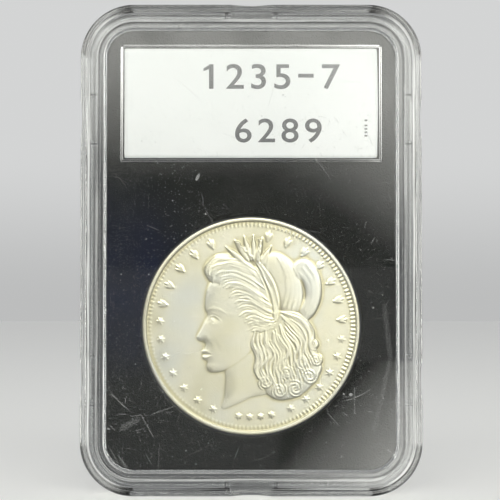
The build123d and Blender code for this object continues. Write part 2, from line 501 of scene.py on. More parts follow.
def edge_glints(tree):
    """Painted highlights, drawn as fine white scuffing with some wear, along the raised edges of a shell's
    outer face.
    """
    inset = inset_in(tree)
    x, y, z = spot_in(tree).parts()
    lanes = result(node(tree, "CombineXYZ", X=inset, Y=(x + z) * 0.02))
    streaks = noise(lanes, 3800, 2).ramp(0.35, 0.62, 0.35, 1.0)
    glint_lines = []
    for at, half, at_sides, at_ends in EDGE_GLINTS:
        one_glint = abs(inset - at * MM).ramp(0.3 * half * MM, half * MM, 1.0, 0.0)
        glint_lines.append(one_glint * abs(x).ramp(*SIDES_BEGIN, at_ends, at_sides))
    return highest(*glint_lines) * streaks * abs(y).ramp(*FACE_BEGINS)


def clear_plastic(name, worn, marks=()):
    """Clear polystyrene with moulding ripple, smudges, scratches, a little dust and painted highlights
    on its raised edges, drawn as white scuffing; worn, up to 1, says how much of these marks it has."""
    material, tree = new_material(name)
    zone = highest(*(close_to(tree, *rubbed) for rubbed in RUBBED), 0.25)
    layers = [scratches(tree, *LONG_SCRATCHES) * zone.ramp(0.2, 1.0, 0.04, 0.12)]
    layers += [scratches(tree, *layer) * strength * zone for *layer, strength in SHORT_SCRATCHES]
    layers += [specks(tree, *layer) * strength for *layer, strength in DUST]
    layers += [stroke(tree, *mark) * strength for *mark, strength in marks]
    # scratches, dust and marks together with the painted highlights along the raised edges
    wear_and_glints = highest(*layers, edge_glints(tree)) * worn
    smudge = noise(place_in(tree, scale=(1, 1, 0.5)), 90, 4)
    glass = node(
        tree,
        "BsdfPrincipled",
        Base_Color=(0.93, 0.94, 0.94, 1),
        IOR=1.59,
        Roughness=smudge.ramp(0.45, 0.75, 0.02, 0.05 + 0.04 * worn),
        Transmission_Weight=1.0 - wear_and_glints,
        Normal=bump(noise(place_in(tree), 60, 1), 0.00003, 0.3),
    )
    lets_light_by = node(tree, "BsdfTransparent", Color=(0.93, 0.93, 0.93, 1))
    in_shadow = result(node(tree, "LightPath"), "Is Shadow Ray")
    mix = node(tree, "MixShader")
    feed(mix.inputs, [in_shadow, result(glass), result(lets_light_by)])
    show(tree, mix)
    return material


def dress(node_name, material):
    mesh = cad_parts[node_name].data
    mesh.materials.clear()
    mesh.materials.append(material)


dress("front_shell", clear_plastic("clear_front_plastic", 1.0, MARKS))
dress("back_shell", clear_plastic("clear_back_plastic", 0.5))


# -------------------- coin
# Heights over one face of the coin, in millimetres: u runs to the viewer's right, v up,
# and both start at the coin's middle.

COIN_R = 19.05
FIELD_SINK = 0.30  # from the top of the rim down to the field
RIM_INNER = 18.3
DENTIL_INNER = 17.4
DENTILS = 160
GRID_STEP = 0.06
RELIEF_SHARE = 0.77  # how much of its first height the design keeps, as a worn coin's
RING_R = 0.838 * COIN_R  # the ring that carries the stars and ornaments
STRAND_TIP = 0.25  # a strand's width at its ends, as a share of its full width
GROOVE_AT = 1.15  # middle of the groove beside a strand, in half widths of the strand
GROOVE_HALF = 0.35  # and how far it reaches either way
RIM_SLOPE = 0.14  # how wide the slope inside the rim is
RIM_ROUND = 0.30  # how wide its outer edge is rounded
RIM_DROP = 0.16  # and how far down
DENTIL_SLOPE = 0.12


def turned(points, angle, scale=1.0, shift=(0, 0)):
    """Points scaled, turned by an angle in degrees and moved."""
    c, s = math.cos(math.radians(angle)), math.sin(math.radians(angle))
    p = np.asarray(points, float) * scale
    return np.stack([p[:, 0] * c - p[:, 1] * s, p[:, 0] * s + p[:, 1] * c], 1) + shift


def spline(points, closed=False, steps=8):
    """A smooth line through points (Catmull-Rom)."""
    p = np.asarray(points, float)
    before, after = (p[-1:], p[:2]) if closed else (2 * p[:1] - p[1:2], 2 * p[-1:] - p[-2:-1])
    p = np.concatenate([before, p, after])
    t = np.linspace(0, 1, steps, endpoint=False)[:, None]
    line = [
        0.5 * (2 * b + (c - a) * t + (2 * a - 5 * b + 4 * c - d) * t**2 + (3 * (b - c) + d - a) * t**3)
        for a, b, c, d in zip(p, p[1:], p[2:], p[3:])
    ]
    return np.concatenate(line if closed else [*line, p[-2:-1]])


def between(first, second, count, steps=24):
    """Lines that lead over from one guide line to another, both of any number of points."""

    def even(guide):
        line = spline(guide, steps=12)
        run = np.concatenate([[0], np.cumsum(np.linalg.norm(np.diff(line, axis=0), axis=1))])
        at = np.linspace(0, run[-1], steps)
        return np.stack([np.interp(at, run, line[:, k]) for k in (0, 1)], 1)

    a, b = even(first), even(second)
    return [a + (b - a) * s for s in np.linspace(0, 1, count)]


class Relief:
    """A square grid of heights that shapes are raised on."""

    def __init__(self):
        self.count = int(2 * COIN_R / GRID_STEP) + 3
        self.axis = (np.arange(self.count) - (self.count - 1) / 2) * GRID_STEP
        self.h = np.zeros((self.count, self.count))

    def window(self, line, margin):
        low = np.searchsorted(self.axis, line.min(0) - margin)
        high = np.searchsorted(self.axis, line.max(0) + margin)
        rows, columns = slice(low[1], high[1]), slice(low[0], high[0])
        v, u = np.meshgrid(self.axis[rows], self.axis[columns], indexing="ij")
        return (rows, columns), u, v

    @staticmethod
    def nearest(u, v, line):
        """Distance to a line and the share of its length at the nearest point."""
        best = np.full(u.shape, np.inf)
        share = np.zeros(u.shape)
        for i in range(len(line) - 1):
            (ax, ay), (bx, by) = line[i], line[i + 1]
            dx, dy = bx - ax, by - ay
            t = np.clip(((u - ax) * dx + (v - ay) * dy) / max(dx * dx + dy * dy, 1e-12), 0, 1)
            d = np.hypot(u - ax - t * dx, v - ay - t * dy)
            closer = d < best
            best = np.where(closer, d, best)
            share = np.where(closer, (i + t) / (len(line) - 1), share)
        return best, share

    @staticmethod
    def inside(u, v, line):
        odd = np.zeros(u.shape, bool)
        for (ax, ay), (bx, by) in zip(line, np.roll(line, -1, 0)):
            if ay != by:
                crosses = (ay > v) != (by > v)
                odd ^= crosses & (u < ax + (v - ay) * (bx - ax) / (by - ay))
        return odd

    def pillow(self, outline, height, edge, base=0.0):
        """Raises a closed shape to base + height, rounded over within edge of its outline."""
        place, u, v = self.window(outline, 0.1)
        d, _ = self.nearest(u, v, np.concatenate([outline, outline[:1]]))
        share = np.clip(d / edge, 0, 1)
        rise = base + height * np.sqrt(1 - (1 - share) ** 2)
        rise = np.where(self.inside(u, v, outline), rise, 0)
        self.h[place] = np.maximum(self.h[place], rise)

    def mound(self, points, height, edge, base=0.0):
        """The same for the smooth shape that closes through the points."""
        self.pillow(spline(points, closed=True), height, edge, base)

    def strands(self, paths, width, height, dig=0.0):
        """Adds rounded strands along paths, thin at their ends; dig sinks a groove either side."""
        layer = np.zeros_like(self.h)
        for path in paths:
            place, u, v = self.window(path, width)
            d, share = self.nearest(u, v, path)
            swell = np.sin(np.pi * np.clip(share, 0.02, 0.98)) ** 0.6
            half = width / 2 * (STRAND_TIP + (1 - STRAND_TIP) * swell)
            top = height * np.sqrt(np.clip(1 - (d / half) ** 2, 0, 1))
            layer[place] = np.maximum(layer[place], top)
            if dig:
                near = -dig * np.clip(1 - np.abs(d / half - GROOVE_AT) / GROOVE_HALF, 0, 1)
                layer[place] = np.where(layer[place] > 0, layer[place], np.minimum(layer[place], near))
        self.h += layer

    def bump(self, middle, radii, height, angle=0.0):
        """Adds a soft mound, or a hollow where height is negative."""
        reach = 3 * max(radii)
        corners = np.array([[-reach, -reach], [reach, reach]]) + middle
        place, u, v = self.window(corners, 0)
        c, s = math.cos(math.radians(angle)), math.sin(math.radians(angle))
        du, dv = u - middle[0], v - middle[1]
        along, across = (du * c + dv * s) / radii[0], (dv * c - du * s) / radii[1]
        self.h[place] += height * np.exp(-(along**2) - across**2)


def circle(middle, radius, count=32, squash=1.0, angle=0.0):
    t = np.linspace(0, 2 * math.pi, count, endpoint=False)
    return turned(np.stack([radius * np.cos(t), radius * squash * np.sin(t)], 1), angle, 1, middle)


def leaf(root, tip, width):
    """A pointed leaf from root to tip."""
    root, tip = np.array(root, float), np.array(tip, float)
    along = tip - root
    side = np.array([-along[1], along[0]]) / np.linalg.norm(along) * width / 2
    t = np.linspace(0, 1, 12)[:, None]
    swell = np.sin(np.pi * t**0.8)
    return np.concatenate([root + along * t + side * swell, (root + along * t - side * swell)[::-1][1:-1]])


def star_outline(middle, angle, radius=0.86, waist=0.42):
    """A six-pointed star."""
    turns = np.radians(angle + 90 + np.arange(12) * 30)
    reach = np.where(np.arange(12) % 2 == 0, radius, radius * waist)
    return np.stack([reach * np.cos(turns), reach * np.sin(turns)], 1) + middle


def on_ring(angle, radius=RING_R):
    return radius * math.cos(math.radians(angle)), radius * math.sin(math.radians(angle))


def add_border(relief):
    """Raised rim with a ring of dentils inside it, worn flatter on the left."""
    v, u = np.meshgrid(relief.axis, relief.axis, indexing="ij")
    r, a = np.hypot(u, v), np.arctan2(v, u)
    rim = np.clip((r - RIM_INNER) / RIM_SLOPE, 0, 1)
    fall = np.clip((r - (COIN_R - RIM_ROUND)) / RIM_ROUND, 0, 1)
    tooth = np.clip(1.5 * np.cos(DENTILS * a) + 0.8, 0, 1)
    crisp = 0.15 + 0.22 * np.clip(np.cos(a - 0.3), 0, 1)
    teeth = tooth * np.clip((r - DENTIL_INNER) / DENTIL_SLOPE, 0, 1) * crisp
    level = np.maximum(rim, np.where(r < RIM_INNER + 0.05, teeth, 0))
    smooth = level * level * (3 - 2 * level)
    relief.h = np.maximum(relief.h, FIELD_SINK * smooth - RIM_DROP * fall**2)


def add_palmette(relief, angle):
    """A small three-leaf ornament on the ring, standing outwards."""
    for lean, length in ((-38, 0.95), (38, 0.95), (0, 1.25)):
        shape = leaf((0, -0.75), (length * math.sin(math.radians(lean)), -0.75 + 1.5 * length), 0.62)
        relief.pillow(turned(shape, angle - 90, 1, on_ring(angle)), 0.11, 0.28)
    relief.pillow(circle(on_ring(angle, RING_R - 0.78), 0.24, 12), 0.12, 0.2)


FACE_TOP = 7.6  # the hairline
FACE_THIRD = 5.2  # hairline to brow, brow to nose base, nose base to chin
FACE_FRONT = -8.1
# a plain classical profile, from the hairline down to the jaw's angle and up to the ear,
# in thirds of the face: (back from the forehead, down from the hairline)
PROFILE = [
    (0.30, -0.10), (0.08, 0.20), (0.01, 0.55), (0.00, 0.86), (0.07, 1.08), (-0.06, 1.38), (-0.22, 1.70),
    (-0.28, 1.84), (-0.22, 1.94), (-0.06, 1.99), (0.01, 2.06), (-0.02, 2.20), (-0.10, 2.31), (-0.09, 2.37),
    (-0.01, 2.41), (-0.08, 2.47), (-0.06, 2.56), (0.07, 2.66), (0.05, 2.80), (0.10, 2.94), (0.26, 3.02),
    (0.60, 2.98), (1.10, 2.76), (1.55, 2.38), (1.80, 1.90), (1.95, 1.30), (1.95, 0.30), (1.20, -0.35),
]
# soft mounds and hollows: the place on the face, radii in mm, height and turn in degrees
FACE_MOUNDS = [
    ((0.95, 1.95), (2.4, 2.2), 0.035, 0),  # cheek
    ((0.40, 2.12), (0.30, 1.1), -0.014, 24),  # fold beside the nose
    ((0.20, 2.84), (0.9, 0.7), 0.025, 0),  # chin
    ((0.40, 2.70), (1.2, 0.35), -0.015, 0),  # hollow under the lip
    ((0.32, 1.20), (1.25, 0.70), -0.070, -6),  # eye socket
    ((0.24, 1.26), (0.40, 0.40), 0.060, 0),  # eyeball
    ((0.10, 1.87), (0.42, 0.38), 0.055, 0),  # wing of the nose
    ((-0.04, 1.95), (0.26, 0.11), -0.05, 0),  # nostril
    ((1.60, 1.30), (0.9, 2.2), -0.03, 0),  # temple to the ear
    ((0.08, 2.42), (0.85, 0.10), -0.035, 0),  # line of the mouth
    ((0.21, 1.27), (0.12, 0.14), -0.035, 0),  # pupil
]
# raised lines: width, height and places on the face
FACE_LINES = [
    (0.60, 0.030, [(0.03, 0.97), (0.22, 0.88), (0.46, 0.90), (0.72, 1.04)]),  # brow
    (0.26, 0.045, [(0.13, 1.25), (0.20, 1.14), (0.36, 1.14), (0.56, 1.30)]),  # upper lid
    (0.20, 0.020, [(0.14, 1.04), (0.30, 1.02), (0.50, 1.14)]),  # fold above it
    (0.18, 0.030, [(0.16, 1.36), (0.28, 1.41), (0.42, 1.38), (0.56, 1.30)]),  # lower lid
    (0.36, 0.032, [(-0.09, 2.31), (0.02, 2.31), (0.12, 2.34), (0.22, 2.40)]),  # upper lip
    (0.38, 0.032, [(-0.06, 2.52), (0.03, 2.53), (0.12, 2.50), (0.21, 2.44)]),  # lower lip
]


def on_face(back, down):
    return FACE_FRONT + back * FACE_THIRD, FACE_TOP - down * FACE_THIRD


def add_face(relief):
    neck = [
        (-4.2, -6.6), (-4.5, -9.6), (-4.7, -12.2), (-5.1, -14.4), (-2.6, -13.7), (0.2, -12.4),
        (3.4, -11.6), (5.4, -8.0), (4.6, -3.0), (0.0, -3.6),
    ]
    relief.mound(neck, 0.15, 2.2)
    relief.mound([on_face(*p) for p in PROFILE], 0.25, 2.4)
    for place, radii, height, angle in FACE_MOUNDS:
        relief.bump(on_face(*place), radii, height, angle)
    for width, height, points in FACE_LINES:
        relief.strands([spline([on_face(*p) for p in points])], width, height)


CURL_TURNS = 1.15
CURL_EYE = 0.12  # where a curl starts, as a share of its radius


def curl(middle, radius, start):
    """A spiral lock of hair, from its eye outwards."""
    t = np.linspace(0, 1, int(14 * CURL_TURNS) + 4)
    reach = radius * (CURL_EYE + (1 - CURL_EYE) * t)
    angle = math.radians(start) + 2 * math.pi * CURL_TURNS * t
    return np.stack([reach * np.cos(angle), reach * np.sin(angle)], 1) + middle


# guide lines of the hair: combed back from the forehead, then falling behind the neck
COMBED = [
    [(-7.4, 8.0), (-8.2, 10.0), (-6.8, 11.9), (-4.2, 12.3), (-1.4, 11.7), (1.0, 10.0)],
    [(-6.7, 7.6), (-6.7, 9.2), (-5.0, 10.3), (-2.8, 10.2), (-0.4, 9.2), (2.2, 7.4)],
    [(-5.6, 6.9), (-4.9, 8.2), (-3.0, 8.5), (-0.6, 7.6), (1.4, 6.2), (3.4, 4.6)],
    [(-4.2, 5.2), (-3.0, 6.4), (-1.2, 6.2), (0.8, 5.0), (2.4, 3.8), (4.0, 3.0)],
    [(-3.0, 3.0), (-1.8, 4.0), (0.0, 3.8), (1.6, 2.9), (3.0, 2.2), (4.2, 1.9)],
    [(-1.6, 0.6), (-0.4, 1.6), (1.0, 1.4), (2.4, 0.9), (3.4, 0.9), (4.4, 1.1)],
    [(-0.4, -1.2), (0.8, -0.6), (2.0, -0.9), (3.0, -0.4), (3.8, 0.0), (4.4, 0.5)],
]
FALLING = [
    [(0.6, -0.9), (0.2, -3.2), (1.2, -5.4), (0.5, -7.4), (1.4, -9.4), (2.8, -10.6)],
    [(2.2, -0.8), (1.9, -3.0), (3.0, -5.2), (2.3, -7.4), (3.2, -9.6), (4.2, -11.8)],
    [(3.8, -0.2), (3.8, -2.6), (5.0, -4.8), (4.5, -7.2), (5.4, -9.6), (6.0, -12.4)],
    [(4.8, 0.6), (5.6, -2.0), (7.0, -4.0), (6.8, -6.6), (7.6, -9.0), (8.0, -11.8)],
    [(5.2, 1.6), (7.4, -0.4), (9.0, -2.6), (8.9, -5.4), (9.8, -7.6), (10.4, -9.6)],
    [(5.4, 2.6), (8.6, 1.8), (10.6, -0.4), (10.6, -3.2), (11.4, -5.4), (11.8, -7.8)],
]
CURLS = [
    ((2.4, -9.9), 1.25, 20), ((4.9, -11.3), 1.40, 200), ((7.7, -10.9), 1.50, 80), ((10.2, -8.8), 1.45, 300),
    ((11.3, -5.9), 1.20, 150), ((10.9, -3.2), 1.00, 60), ((6.3, -8.2), 1.20, 30), ((8.9, -6.4), 1.15, 250),
]


def add_locks(relief, guides, count, width, height, sway, chance):
    """Strands that lead from guide to guide, each with waves of its own and lost here and there."""
    locks = []
    for first, second in zip(guides, guides[1:]):
        locks += between(first, second, count, steps=36)[:-1]
    locks += between(guides[-1], guides[-1], 1, steps=36)
    t = np.linspace(0, 1, len(locks[0]))
    for lock in locks:
        side = np.zeros_like(t)
        for waves in (1.6, 3.4):
            phase, size = chance.uniform(0, 2 * math.pi), sway * chance.uniform(0.3, 1.0) / waves
            side += size * np.sin(2 * math.pi * waves * chance.uniform(0.8, 1.2) * t + phase)
        side *= np.sin(np.pi * t) ** 0.7
        lock += np.stack([side, -0.6 * side], 1)
        start, end = chance.uniform(0.0, 0.22), chance.uniform(0.80, 1.0)
        kept = lock[int(start * len(lock)): max(int(end * len(lock)), 6)]
        relief.strands([kept], width * chance.uniform(0.7, 1.3), height * chance.uniform(0.5, 1.15), dig=0.03)


def add_hair(relief):
    chance = np.random.default_rng(11)
    front = [
        *COMBED[0][:5], (2.4, 9.0), (4.4, 6.0), (4.8, 2.4), (2.6, -1.4), (-0.6, -1.5),
        (-2.0, 1.4), (-3.4, 3.8), (-5.2, 6.2),
    ]
    relief.mound(front, 0.22, 1.8, base=0.04)
    back = [
        (0.4, -0.6), (0.0, -3.4), (0.4, -7.4), (1.6, -10.4), (4.2, -12.8), (8.0, -12.4), (10.8, -10.2),
        (12.4, -7.4), (11.6, -4.2), (11.0, -1.0), (9.0, 2.2), (5.0, 3.2),
    ]
    relief.mound(back, 0.20, 1.8, base=0.03)
    add_locks(relief, FALLING, 6, 0.60, 0.13, 0.45, chance)
    add_locks(relief, COMBED, 6, 0.52, 0.12, 0.40, chance)
    for middle, radius, start in CURLS:
        relief.pillow(circle(middle, radius, 24), 0.22, 1.0)
        for lag in (0, 180):
            arm = curl(middle, radius, start + lag + chance.uniform(-20, 20))
            relief.strands([arm], 0.48, 0.09, dig=0.03)


def add_cap(relief):
    """A soft cap behind the hair, with a folded crown and a ribbon at its front edge."""
    crown = [
        (1.2, 12.0), (4.2, 12.9), (6.8, 11.6), (8.4, 9.0), (9.2, 5.4), (8.6, 2.6), (6.2, 2.0), (4.2, 3.6),
        (3.2, 6.6), (1.4, 9.6),
    ]
    relief.mound(crown, 0.27, 2.2, base=0.03)
    lobe = [
        (7.1, 10.6), (9.2, 11.9), (11.2, 10.6), (12.3, 7.8), (12.2, 4.6), (11.0, 2.0), (9.4, 0.9),
        (8.2, 2.6), (9.4, 5.2), (9.0, 7.4), (7.4, 8.6),
    ]
    relief.mound(lobe, 0.29, 1.7, base=0.02)
    folds = between(
        [(4.6, 12.0), (6.0, 9.6), (6.4, 6.4), (5.6, 3.4)],
        [(7.4, 10.2), (8.4, 7.6), (8.6, 5.0), (8.0, 2.6)],
        4,
    )
    folds += between(
        [(9.6, 11.0), (11.4, 8.0), (11.2, 4.6), (10.0, 1.8)],
        [(8.4, 9.4), (9.8, 7.4), (10.0, 5.0), (9.4, 2.6)],
        3,
    )
    relief.strands(folds, 0.9, 0.045)
    line = spline([(-0.9, 12.9), (1.4, 10.4), (3.4, 7.2), (4.3, 3.8), (4.2, 1.0)])
    relief.strands([line], 1.5, 0.09, dig=0.05)
    relief.strands([line + (0.42, 0.18), line - (0.42, 0.18)], 0.22, 0.04)


def add_sprig(relief):
    """Grain leaves and two ears tucked into the ribbon."""
    leaves = [
        ((-0.6, 10.6), (-4.6, 14.0), 1.1), ((-0.2, 11.0), (-3.0, 15.2), 1.1),
        ((0.1, 11.2), (-1.3, 15.9), 1.1), ((0.5, 11.2), (0.4, 16.1), 1.0),
        ((0.9, 11.0), (2.0, 15.6), 1.1), ((1.5, 10.2), (3.6, 14.2), 1.2),
        ((2.6, 8.4), (3.1, 13.2), 1.2), ((0.8, 9.6), (-3.2, 12.4), 1.0),
    ]
    for root, tip, width in leaves:
        relief.pillow(leaf(root, tip, width), 0.24, width * 0.55, base=0.08)
        relief.strands([np.linspace(root, tip, 8)], 0.16, -0.05)
    for root, tip in (((0.4, 11.8), (-2.4, 14.6)), ((1.4, 11.6), (1.6, 14.9))):
        heading = math.degrees(math.atan2(tip[1] - root[1], tip[0] - root[0]))
        for k, spot in enumerate(np.linspace(root, tip, 8)):
            lean = 35 if k % 2 else -35
            relief.pillow(circle(spot, 0.42, 14, 0.5, heading + lean), 0.14, 0.22, base=0.25)
    stems = [[(0.6, 11.4), (2.0, 9.2), (3.0, 6.6)], [(-0.3, 11.2), (1.4, 9.0), (2.6, 6.4)]]
    relief.strands([spline(s) for s in stems], 0.34, 0.08, dig=0.03)


def front_relief():
    relief = Relief()
    add_face(relief)
    add_hair(relief)
    add_cap(relief)
    add_sprig(relief)
    left = [177 + 11.4 * i for i in range(7)]
    right = [-8.3 - 11.2 * i for i in range(6)]
    for angle in left + right:
        relief.pillow(star_outline(on_ring(angle), angle - 90), 0.12, 0.36)
    for angle in [*np.linspace(166, 116, 5), *np.linspace(79, 4, 7)]:
        add_palmette(relief, angle)
    for angle in (262, 269, 276, 283):
        relief.pillow(star_outline(on_ring(angle, 15.9), angle + 90, 0.72, 0.55), 0.13, 0.3)
    relief.h *= RELIEF_SHARE
    add_border(relief)
    return relief


def back_relief():
    """A plain reverse: a large star inside a wreath."""
    relief = Relief()
    relief.pillow(star_outline((0, 0), 0, 6.4, 0.5), 0.24, 2.4)
    relief.pillow(circle((0, 0), 1.6), 0.3, 0.9)
    for side in (-1, 1):
        for i in range(15):
            angle = 90 + side * (20 + 10.2 * i)
            stem = on_ring(angle, 12.4)
            for reach in (10.7, 14.3):
                tip = on_ring(angle - side * 9, reach)
                relief.pillow(leaf(stem, tip, 1.15), 0.2, 0.55)
        arc = [on_ring(90 + side * a, 12.4) for a in range(14, 176, 6)]
        relief.strands([np.array(arc)], 0.5, 0.06)
    for i in range(28):
        relief.pillow(circle(on_ring(i * 360 / 28), 0.34, 14), 0.12, 0.3)
    add_border(relief)
    return relief


FRONT_RINGS = 150
BACK_RINGS = 75
REED_DEPTH = 0.05
REEDS = 180
REED_ENDS = 0.24  # from either face to where the reeds have their full depth
EDGE_BREAK = 0.14  # from either face to where the coin has its full width
FACE_IN = 0.12  # from there in to where the faces end
SOFT_FROM = 0.17  # height above which a design's height is held down
BELOW_RIM = 0.02  # how far below the rim it stays


def ring_disc(rings, radius):
    """Points on rings of 6, 12, 18 ... about a middle point, and the triangles between them."""
    points = [(0.0, 0.0)]
    faces = []
    for k in range(1, rings + 1):
        a = np.arange(6 * k) * (2 * math.pi / (6 * k))
        points += list(zip(radius * k / rings * np.cos(a), radius * k / rings * np.sin(a)))
        first = 1 + 3 * k * (k - 1)
        inner = 1 + 3 * (k - 1) * (k - 2)
        for side in range(6):
            for j in range(k):
                here = first + side * k + j
                after = first + (side * k + j + 1) % (6 * k)
                near = inner + (side * (k - 1) + j) % (6 * (k - 1)) if k > 1 else 0
                faces.append((near, here, after))
                if j < k - 1:
                    ahead = inner + (side * (k - 1) + j + 1) % (6 * (k - 1))
                    faces.append((near, after, ahead))
    return np.array(points), np.array(faces)


def read_relief(relief, points):
    """Heights at points, between the grid's own."""
    at = (points - relief.axis[0]) / GRID_STEP
    low = np.clip(np.floor(at).astype(int), 0, relief.count - 2)
    part = at - low
    h = relief.h
    i, j = low[:, 1], low[:, 0]
    du, dv = part[:, 0], part[:, 1]
    below = h[i, j] * (1 - du) + h[i, j + 1] * du
    above = h[i + 1, j] * (1 - du) + h[i + 1, j + 1] * du
    return below * (1 - dv) + above * dv


def settled(relief):
    """Brings a design's highest parts below the rim's level; gives how deep in a recess each spot lies."""
    top = FIELD_SINK - BELOW_RIM - SOFT_FROM
    held = SOFT_FROM + top * np.tanh((relief.h - SOFT_FROM) / top / 1.6)
    relief.h = np.where(relief.h > SOFT_FROM, held, relief.h)
    around = relief.h.copy()
    for _ in range(10):
        for axis in (0, 1):
            around = (np.roll(around, 3, axis) + around + np.roll(around, -3, axis)) / 3
    return around - relief.h


def make_coin():
    """Two struck faces on rings of points, joined by a reeded edge."""
    low, high = box_in_mm("coin")
    middle = (low + high) / 2
    thick = high[1] - low[1]
    sides = []
    for rings, design, outward in ((FRONT_RINGS, front_relief(), -1), (BACK_RINGS, back_relief(), 1)):
        points, faces = ring_disc(rings, COIN_R - FACE_IN)
        hollow = Relief()
        hollow.h = settled(design)
        depth = middle[1] + outward * (thick / 2 - FIELD_SINK + read_relief(design, points))
        spots = np.stack([middle[0] - outward * points[:, 0], depth, middle[2] + points[:, 1]], 1)
        sides.append((spots, faces, read_relief(hollow, points)))
    (front, front_faces, front_hollow), (back, back_faces, back_hollow) = sides
    count = 6 * FRONT_RINGS
    a = np.arange(count) * (2 * math.pi / count)
    reed = REED_DEPTH * (0.5 - 0.5 * np.cos(REEDS * a))
    rows = []
    for depth, cut in (
        (EDGE_BREAK, 0.0),
        (REED_ENDS, 1.0),
        (thick - REED_ENDS, 1.0),
        (thick - EDGE_BREAK, 0.0),
    ):
        r = COIN_R - cut * reed
        across = np.full(count, low[1] + depth)
        rows.append(np.stack([middle[0] + r * np.cos(a), across, middle[2] + r * np.sin(a)], 1))
    verts = np.concatenate([front, *rows, back])
    faces = [tuple(f) for f in front_faces]
    for k in range(-1, 3):  # the front's own outer ring comes first
        last = len(front) + k * count
        faces += side_faces([*range(last, last + count)], count)
    last += count
    back_start = last + count
    faces += [tuple(back_start + k for k in f) for f in back_faces]
    # the back's own outer ring runs the other way round, with half as many points
    half = count // 2
    back_ring = back_start + len(back) - half
    for i in range(half):
        side_a, side_b, side_c = last + 2 * i, last + 2 * i + 1, last + (2 * i + 2) % count
        here = back_ring + (half // 2 - i) % half
        there = back_ring + (half // 2 - i - 1) % half
        faces += [(side_a, here, side_b), (side_b, here, there), (side_b, there, side_c)]
    coin = add_mesh("struck_coin", verts * MM, faces)
    hollow = np.concatenate([front_hollow, np.zeros(4 * count), back_hollow])
    coin.data.attributes.new("hollow", "FLOAT", "POINT").data.foreach_set("value", hollow)
    return coin


def silver(tree):
    """Lightly worn silver: soft lustre, bag marks, and pale yellow toning in the recesses."""
    place = place_in(tree)
    hollow = result(node(tree, "Attribute", attribute_name="hollow"), "Fac")
    cloud = noise(place, 140, 4)
    skin = blend_colors(cloud.ramp(0.35, 0.7), (0.965, 0.915, 0.70), (0.94, 0.90, 0.745))
    skin = blend_colors(noise(place, 60, 2).ramp(0.48, 0.68), skin, (0.89, 0.885, 0.80))
    nicks = hairlines(tree, turn=30, across=900, along=120, width=0.03) * noise(place, 300, 1).ramp(0.55, 0.7)
    return {
        "Metallic": 1.0,
        "Base_Color": blend_colors(hollow.ramp(0.0, 0.035), skin, (0.81, 0.75, 0.51)),
        "Roughness": cloud.ramp(0.3, 0.75, 0.30, 0.42),
        "Normal": bump(noise(place, 1500, 2) * 0.4 - nicks, 0.00001, 0.6),
    }


give(make_coin(), painted("worn_silver", silver), "coin", "coin_silver", "coin")


# -------------------- foam insert

FOAM_RAYS = 480
FOAM_EDGE = 0.35  # rounding of the die-cut edges
FOAM_STEPS = 64
FOAM_PORE = 0.035  # how uneven the skin is
INSERT_INSET = 4.4  # from the slab's outline in to the insert's
HOLE_R = COIN_R + 0.3
BLUE_SPOT = (-0.024, 0.0, 0.038)  # where the foam is bluest, in metres
# as for the plastic's layers, without the strength
LINT = (6.5, 3.0, 0.08, 0.28, 0.67)
FOAM_DUST = [(0.6, 0.12, 0.40, 0.17), (2.2, 0.20, 0.35, 0.43)]


def outline_reach(direction, start, half_wide, half_high, corner):
    """How far a ray from start runs before it leaves a rounded rectangle about the origin."""
    near, far = 0.0, 200.0
    for _ in range(40):
        reach = (near + far) / 2
        p = np.abs(start + reach * direction) - (half_wide - corner, half_high - corner)
        outside = math.hypot(max(p[0], 0), max(p[1], 0)) + min(max(p[0], p[1]), 0) > corner
        near, far = (near, reach) if outside else (reach, far)
    return near


def make_foam():
    """A plate round the coin's hole: rays of points from the hole to the outline, over both faces."""
    low, high = box_in_mm("foam_insert")
    coin_low, coin_high = box_in_mm("coin")
    middle, half = (low + high) / 2, (high - low) / 2
    hub = ((coin_low + coin_high) / 2)[[0, 2]]
    start = hub - middle[[0, 2]]
    corner = SLAB_CORNER - INSERT_INSET
    bend = np.radians(np.linspace(0, 90, 5))
    turn_in = FOAM_EDGE * (1 - np.cos(bend))
    turn_up = FOAM_EDGE * (1 - np.sin(bend))
    verts = []
    for a in np.linspace(0, 2 * math.pi, FOAM_RAYS, endpoint=False):
        ray = np.array([math.cos(a), math.sin(a)])
        reach = outline_reach(ray, start, half[0], half[2], corner)
        span = reach - HOLE_R
        face = np.linspace(FOAM_EDGE, span - FOAM_EDGE, FOAM_STEPS)[1:-1]
        along = np.concatenate([turn_in, face, (span - turn_in)[::-1]])
        inward = np.concatenate([turn_up, np.zeros(len(face)), turn_up[::-1]])
        for s, d in zip(along, inward):
            verts.append((*(hub + (HOLE_R + s) * ray), low[1] + d))
        for s, d in zip(along[::-1], inward[::-1]):
            verts.append((*(hub + (HOLE_R + s) * ray), high[1] - d))
    verts = np.array(verts)[:, [0, 2, 1]]
    chance = np.random.default_rng(5)
    uneven = chance.uniform(0, FOAM_PORE, len(verts))
    verts[:, 1] += np.where(verts[:, 1] < middle[1], uneven, -uneven)
    row = len(verts) // FOAM_RAYS
    ray = np.arange(FOAM_RAYS)[:, None]
    beside = (ray + 1) % FOAM_RAYS
    step = np.arange(row)[None, :]
    onward = (step + 1) % row
    faces = np.stack([ray * row + step, ray * row + onward, beside * row + onward, beside * row + step], -1)
    return add_mesh("die_cut_foam", verts * MM, faces.reshape(-1, 4))


